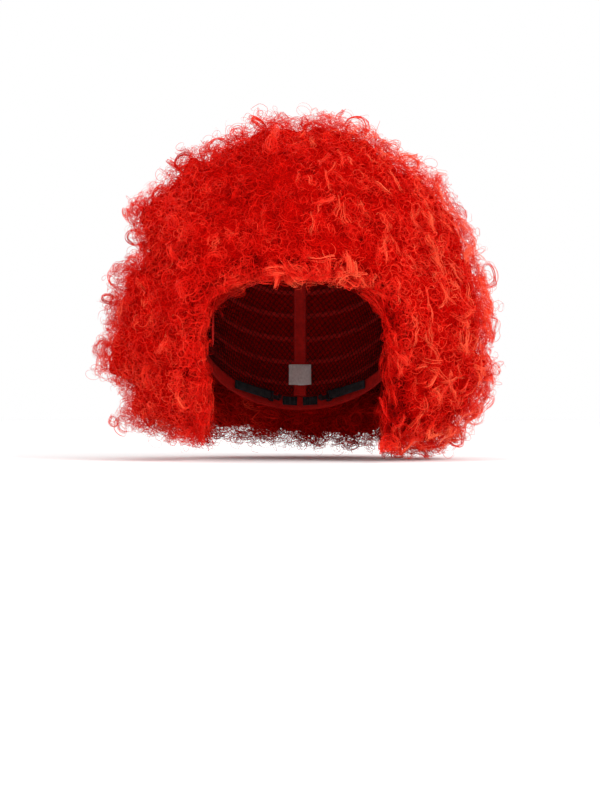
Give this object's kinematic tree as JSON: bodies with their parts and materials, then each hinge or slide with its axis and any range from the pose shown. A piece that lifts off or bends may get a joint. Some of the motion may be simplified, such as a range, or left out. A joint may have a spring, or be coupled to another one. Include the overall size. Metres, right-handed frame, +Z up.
{
  "type": "costume wig",
  "caption": "Short curly costume wig: rows of bright red curls sewn round a stretch-net cap, with ear tabs, hooked nape adjusters and an arched face opening; worn on an adult head.",
  "frame": {"origin": "centre of the head that the cap fits, about 30 mm above the wearer's eyes", "axes": "+Z up, face opening towards -Y, the wearer's left towards +X"},
  "size_m": [0.304, 0.2962, 0.265],
  "materials": {
    "curl_fibre": "satin",
    "weft_tape": "matte",
    "stretch_net": "matte",
    "soft_band": "matte",
    "elastic": "matte",
    "strap_elastic": "matte",
    "loop_tape": "matte",
    "hook_plastic": "gloss",
    "label_satin": "satin"
  },
  "bodies": {
    "root": {"cap_net": "stretch_net", "centre_ribbon": "elastic", "crown_curls": "curl_fibre", "crown_patch": "weft_tape", "curl_row_02": "curl_fibre", "curl_row_03": "curl_fibre", "curl_row_04": "curl_fibre", "curl_row_05": "curl_fibre", "curl_row_06": "curl_fibre", "curl_row_07": "curl_fibre", "curl_row_08": "curl_fibre", "curl_row_09": "curl_fibre", "curl_row_10": "curl_fibre", "front_band": "soft_band", "left_loop_tape": "loop_tape", "left_ribbon": "elastic", "left_side_curls_1": "curl_fibre", "left_side_curls_2": "curl_fibre", "nape_band": "elastic", "right_loop_tape": "loop_tape", "right_ribbon": "elastic", "right_side_curls_1": "curl_fibre", "right_side_curls_2": "curl_fibre", "weft_tape_02": "weft_tape", "weft_tape_03": "weft_tape", "weft_tape_04": "weft_tape", "weft_tape_05": "weft_tape", "weft_tape_06": "weft_tape", "weft_tape_07": "weft_tape", "weft_tape_08": "weft_tape", "weft_tape_09": "weft_tape", "weft_tape_10": "weft_tape"},
    "left_ear_tab": {"left_ear_tab": "soft_band"},
    "right_ear_tab": {"right_ear_tab": "soft_band"},
    "left_adjuster_strap": {"left_adjuster_strap": "strap_elastic"},
    "right_adjuster_strap": {"right_adjuster_strap": "strap_elastic"},
    "left_hook": {"left_hook": "hook_plastic"},
    "right_hook": {"right_hook": "hook_plastic"},
    "care_label": {"care_label": "label_satin"}
  },
  "joints": [
    {"name": "left_ear_tab_fold", "type": "hinge", "parent": "root", "child": "left_ear_tab", "pos_m": [0.0655, -0.04526, 0.008], "axis": [0, 0.848, -0.5299], "range_deg": [0, 35]},
    {"name": "left_strap_swing", "type": "hinge", "parent": "root", "child": "left_adjuster_strap", "pos_m": [0.05113, 0.04929, -0.04224], "axis": [0, 0.5299, 0.848], "range_deg": [0, 40]},
    {"name": "left_hook_turn", "type": "hinge", "parent": "left_adjuster_strap", "child": "left_hook", "pos_m": [0.02454, 0.06346, -0.05109], "axis": [0, 0.5299, 0.848], "range_deg": [0, 60]},
    {"name": "right_ear_tab_fold", "type": "hinge", "parent": "root", "child": "right_ear_tab", "pos_m": [-0.0655, -0.04526, 0.008], "axis": [0, -0.848, 0.5299], "range_deg": [0, 35]},
    {"name": "right_strap_swing", "type": "hinge", "parent": "root", "child": "right_adjuster_strap", "pos_m": [-0.05113, 0.04929, -0.04224], "axis": [0, -0.5299, -0.848], "range_deg": [0, 40]},
    {"name": "right_hook_turn", "type": "hinge", "parent": "right_adjuster_strap", "child": "right_hook", "pos_m": [-0.02454, 0.06346, -0.05109], "axis": [0, -0.5299, -0.848], "range_deg": [0, 60]},
    {"name": "care_label_lift", "type": "hinge", "parent": "root", "child": "care_label", "pos_m": [0, 0.08923, -0.02628], "axis": [-1, 0, 0], "range_deg": [0, 75]}
  ]
}
